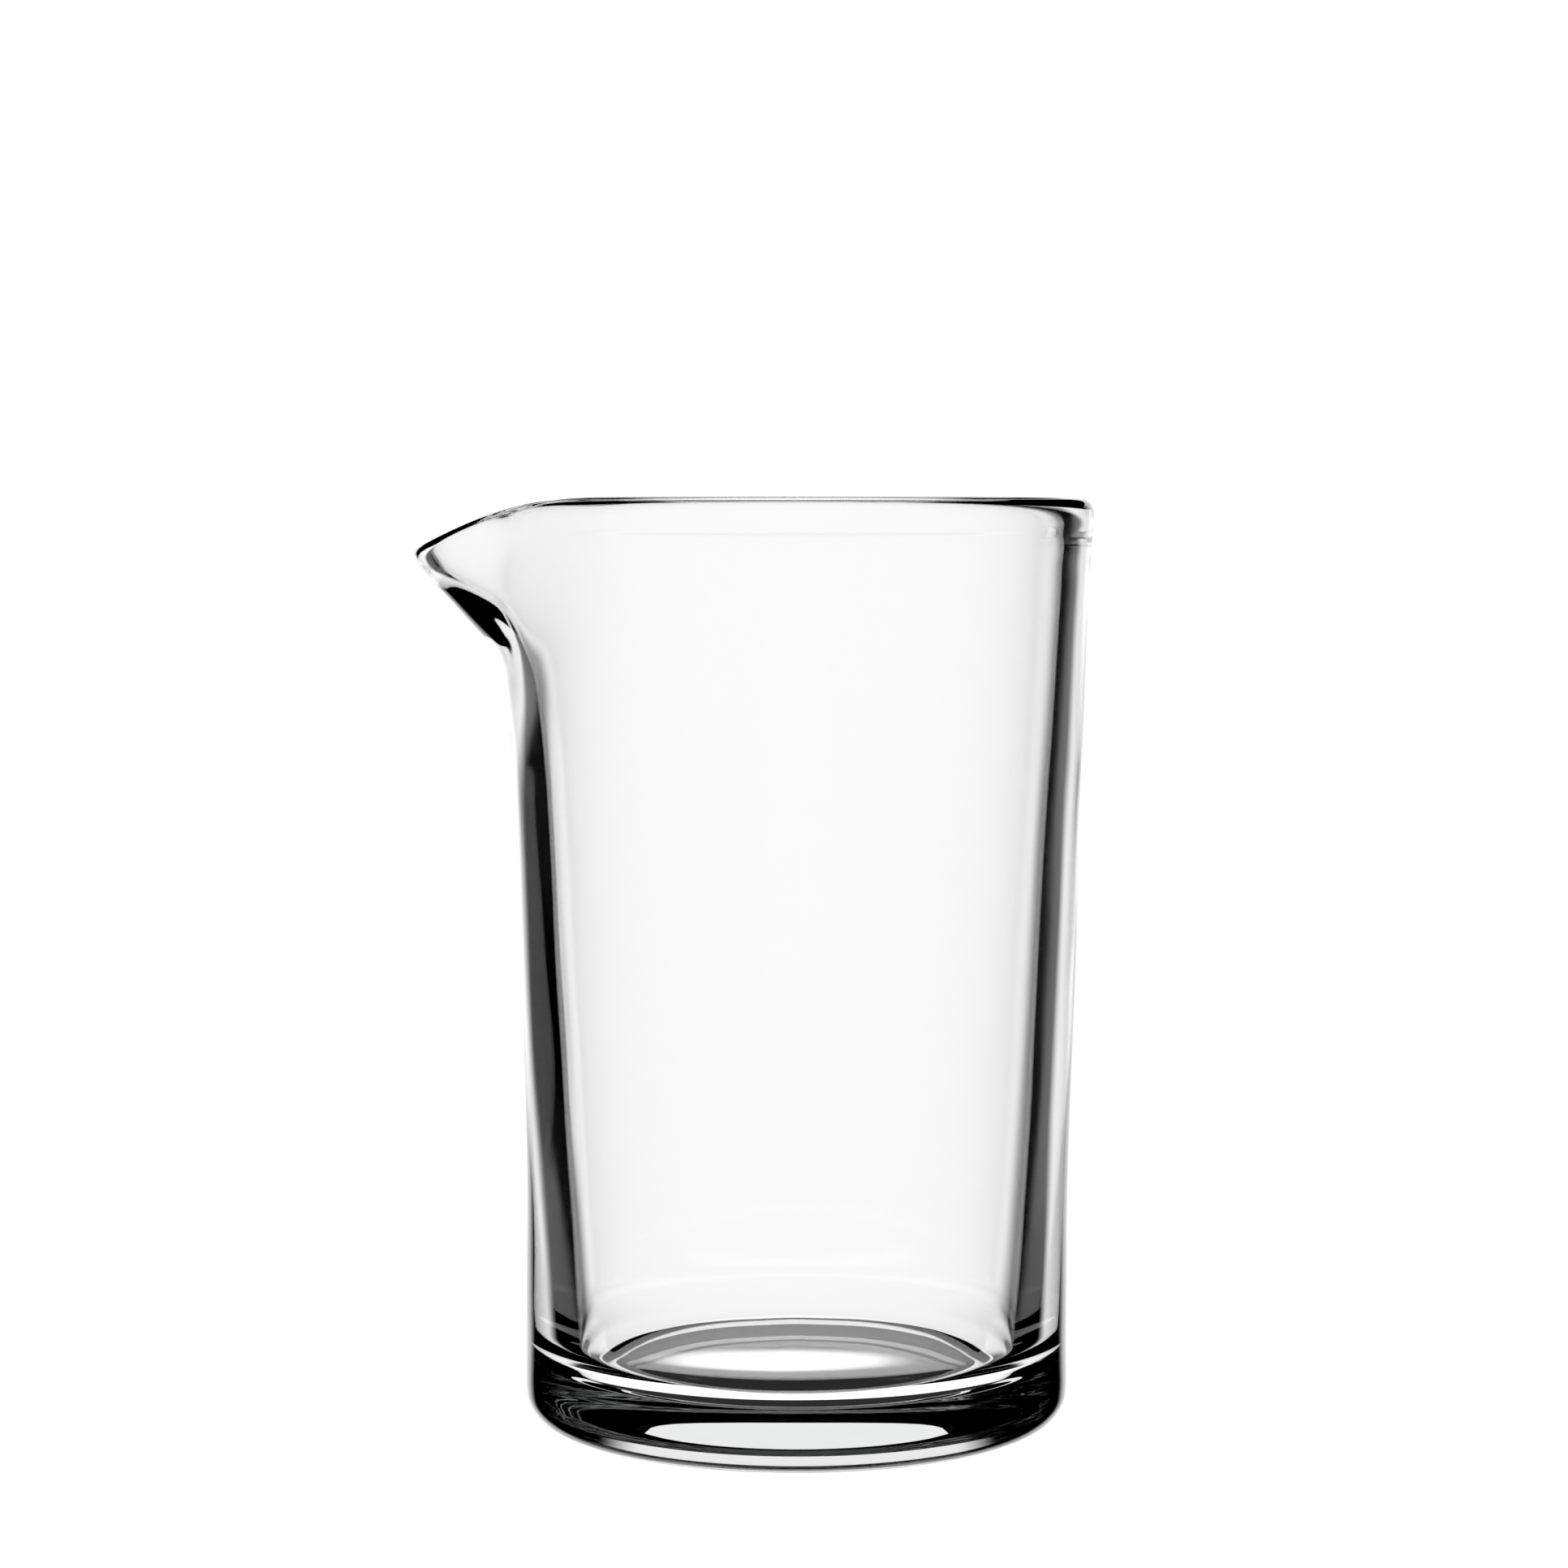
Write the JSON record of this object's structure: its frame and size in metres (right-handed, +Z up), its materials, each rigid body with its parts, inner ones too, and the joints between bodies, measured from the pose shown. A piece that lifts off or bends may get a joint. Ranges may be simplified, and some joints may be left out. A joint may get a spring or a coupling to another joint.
{
  "type": "beaker",
  "caption": "Clear glass beaker with a thick base, tapered heavy wall, fire-polished rim and wide pouring spout.",
  "frame": {"origin": "on the axis of the round body, in the plane of the ring it stands on", "axes": "+Z up along the body's axis, -X towards the pouring spout, +Y across the spout"},
  "size_m": [0.1092, 0.0956, 0.15],
  "materials": {
    "clear_glass": "clear, polished, slightly wavy inside"
  },
  "bodies": {
    "root": {"beaker_glass": "clear_glass"}
  },
  "joints": []
}
